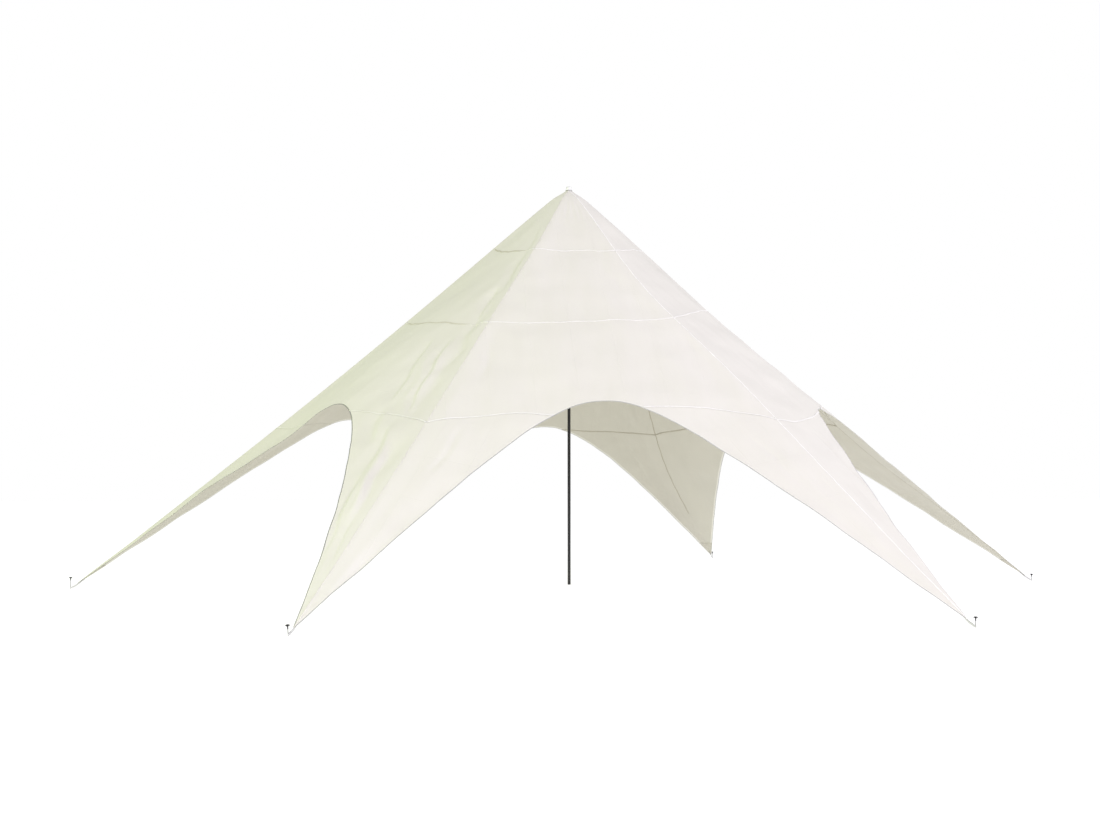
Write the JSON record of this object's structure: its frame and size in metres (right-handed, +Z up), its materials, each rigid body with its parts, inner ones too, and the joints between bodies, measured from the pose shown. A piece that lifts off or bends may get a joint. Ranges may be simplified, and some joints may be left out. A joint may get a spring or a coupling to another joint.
{
  "type": "star tent",
  "caption": "Star tent: a peaked cream cloth canopy on a centre pole, swept down into narrow arms strapped to ground pegs, with an arched opening between the arms.",
  "frame": {"origin": "on the ground, at the centre of the pole's foot", "axes": "+Z up along the pole, +X from the pole towards the peg of arm 1; the arms follow every 60 degrees anticlockwise seen from above"},
  "size_m": [12.04, 10.4324, 4.977],
  "materials": {
    "cloth": "matt cream coated tent cloth",
    "hem_tape": "matt grey binding tape",
    "webbing": "matt light grey webbing",
    "peg_steel": "bright zinc plated steel",
    "black_plastic": "moulded black plastic",
    "pole_paint": "satin black powder coat",
    "cap_plastic": "moulded white plastic"
  },
  "bodies": {
    "root": {"canopy_top_1": "cloth", "canopy_top_2": "cloth", "canopy_top_3": "cloth", "canopy_top_4": "cloth", "canopy_top_5": "cloth", "canopy_top_6": "cloth", "canopy_wing_left_1": "cloth", "canopy_wing_left_2": "cloth", "canopy_wing_left_3": "cloth", "canopy_wing_left_4": "cloth", "canopy_wing_left_5": "cloth", "canopy_wing_left_6": "cloth", "canopy_wing_right_1": "cloth", "canopy_wing_right_2": "cloth", "canopy_wing_right_3": "cloth", "canopy_wing_right_4": "cloth", "canopy_wing_right_5": "cloth", "canopy_wing_right_6": "cloth", "hem_binding_1": "hem_tape", "hem_binding_2": "hem_tape", "hem_binding_3": "hem_tape", "hem_binding_4": "hem_tape", "hem_binding_5": "hem_tape", "hem_binding_6": "hem_tape", "corner_strap_1": "webbing", "corner_strap_2": "webbing", "corner_strap_3": "webbing", "corner_strap_4": "webbing", "corner_strap_5": "webbing", "corner_strap_6": "webbing", "ground_peg_1": "peg_steel", "ground_peg_2": "peg_steel", "ground_peg_3": "peg_steel", "ground_peg_4": "peg_steel", "ground_peg_5": "peg_steel", "ground_peg_6": "peg_steel", "peg_head_1": "black_plastic", "peg_head_2": "black_plastic", "peg_head_3": "black_plastic", "peg_head_4": "black_plastic", "peg_head_5": "black_plastic", "peg_head_6": "black_plastic", "pole_lower": "pole_paint", "pole_upper": "pole_paint", "apex_cap": "cap_plastic"}
  },
  "joints": []
}
